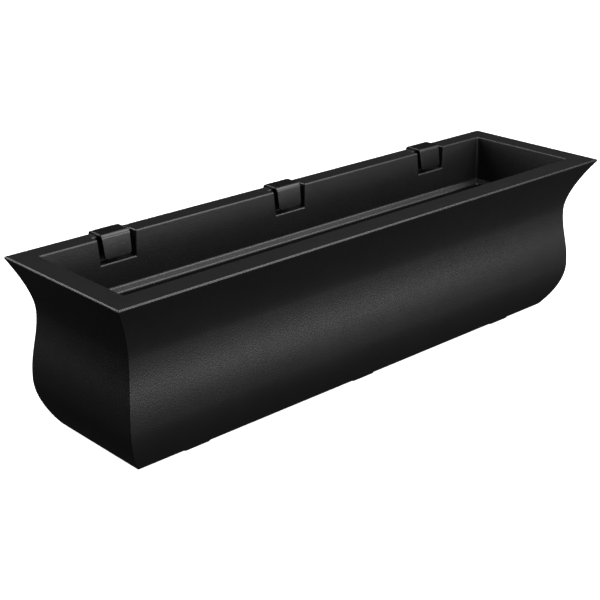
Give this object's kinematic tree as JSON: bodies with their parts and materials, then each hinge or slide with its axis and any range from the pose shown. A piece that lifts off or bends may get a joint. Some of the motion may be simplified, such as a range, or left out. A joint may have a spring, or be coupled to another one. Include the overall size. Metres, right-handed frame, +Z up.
{
  "type": "window box planter",
  "caption": "Long double-walled window-box planter with a flared S-curved skin, wide flat rim and ledged liner, held by steel wall brackets whose hook straps slide up off the rim.",
  "frame": {"origin": "on the surface that the support arms stand on, under the middle of the object's box", "axes": "+X along the length of the box, +Y towards the wall behind it, +Z up"},
  "size_m": [1.219, 0.3356, 0.3376],
  "materials": {
    "planter_plastic": "fine pebbled moulded polyethylene, satin black",
    "bracket_coat": "satin black powder coat with a fine orange peel",
    "fastener_steel": "black oxide"
  },
  "bodies": {
    "planter": {"planter_body": "planter_plastic", "support_arm_left": "bracket_coat", "clamp_screw_left_upper": "fastener_steel", "washer_left_upper": "fastener_steel", "nut_left_upper": "fastener_steel", "clamp_screw_left_lower": "fastener_steel", "washer_left_lower": "fastener_steel", "nut_left_lower": "fastener_steel", "support_arm_middle": "bracket_coat", "clamp_screw_middle_upper": "fastener_steel", "washer_middle_upper": "fastener_steel", "nut_middle_upper": "fastener_steel", "clamp_screw_middle_lower": "fastener_steel", "washer_middle_lower": "fastener_steel", "nut_middle_lower": "fastener_steel", "support_arm_right": "bracket_coat", "clamp_screw_right_upper": "fastener_steel", "washer_right_upper": "fastener_steel", "nut_right_upper": "fastener_steel", "clamp_screw_right_lower": "fastener_steel", "washer_right_lower": "fastener_steel", "nut_right_lower": "fastener_steel"},
    "hook_left": {"hook_strap_left": "bracket_coat"},
    "hook_middle": {"hook_strap_middle": "bracket_coat"},
    "hook_right": {"hook_strap_right": "bracket_coat"}
  },
  "joints": [
    {"name": "hook_lift_left", "type": "slide", "parent": "planter", "child": "hook_left", "axis": [0, 0, 1], "range_m": [0, 0.05]},
    {"name": "hook_lift_middle", "type": "slide", "parent": "planter", "child": "hook_middle", "axis": [0, 0, 1], "range_m": [0, 0.05]},
    {"name": "hook_lift_right", "type": "slide", "parent": "planter", "child": "hook_right", "axis": [0, 0, 1], "range_m": [0, 0.05]}
  ]
}
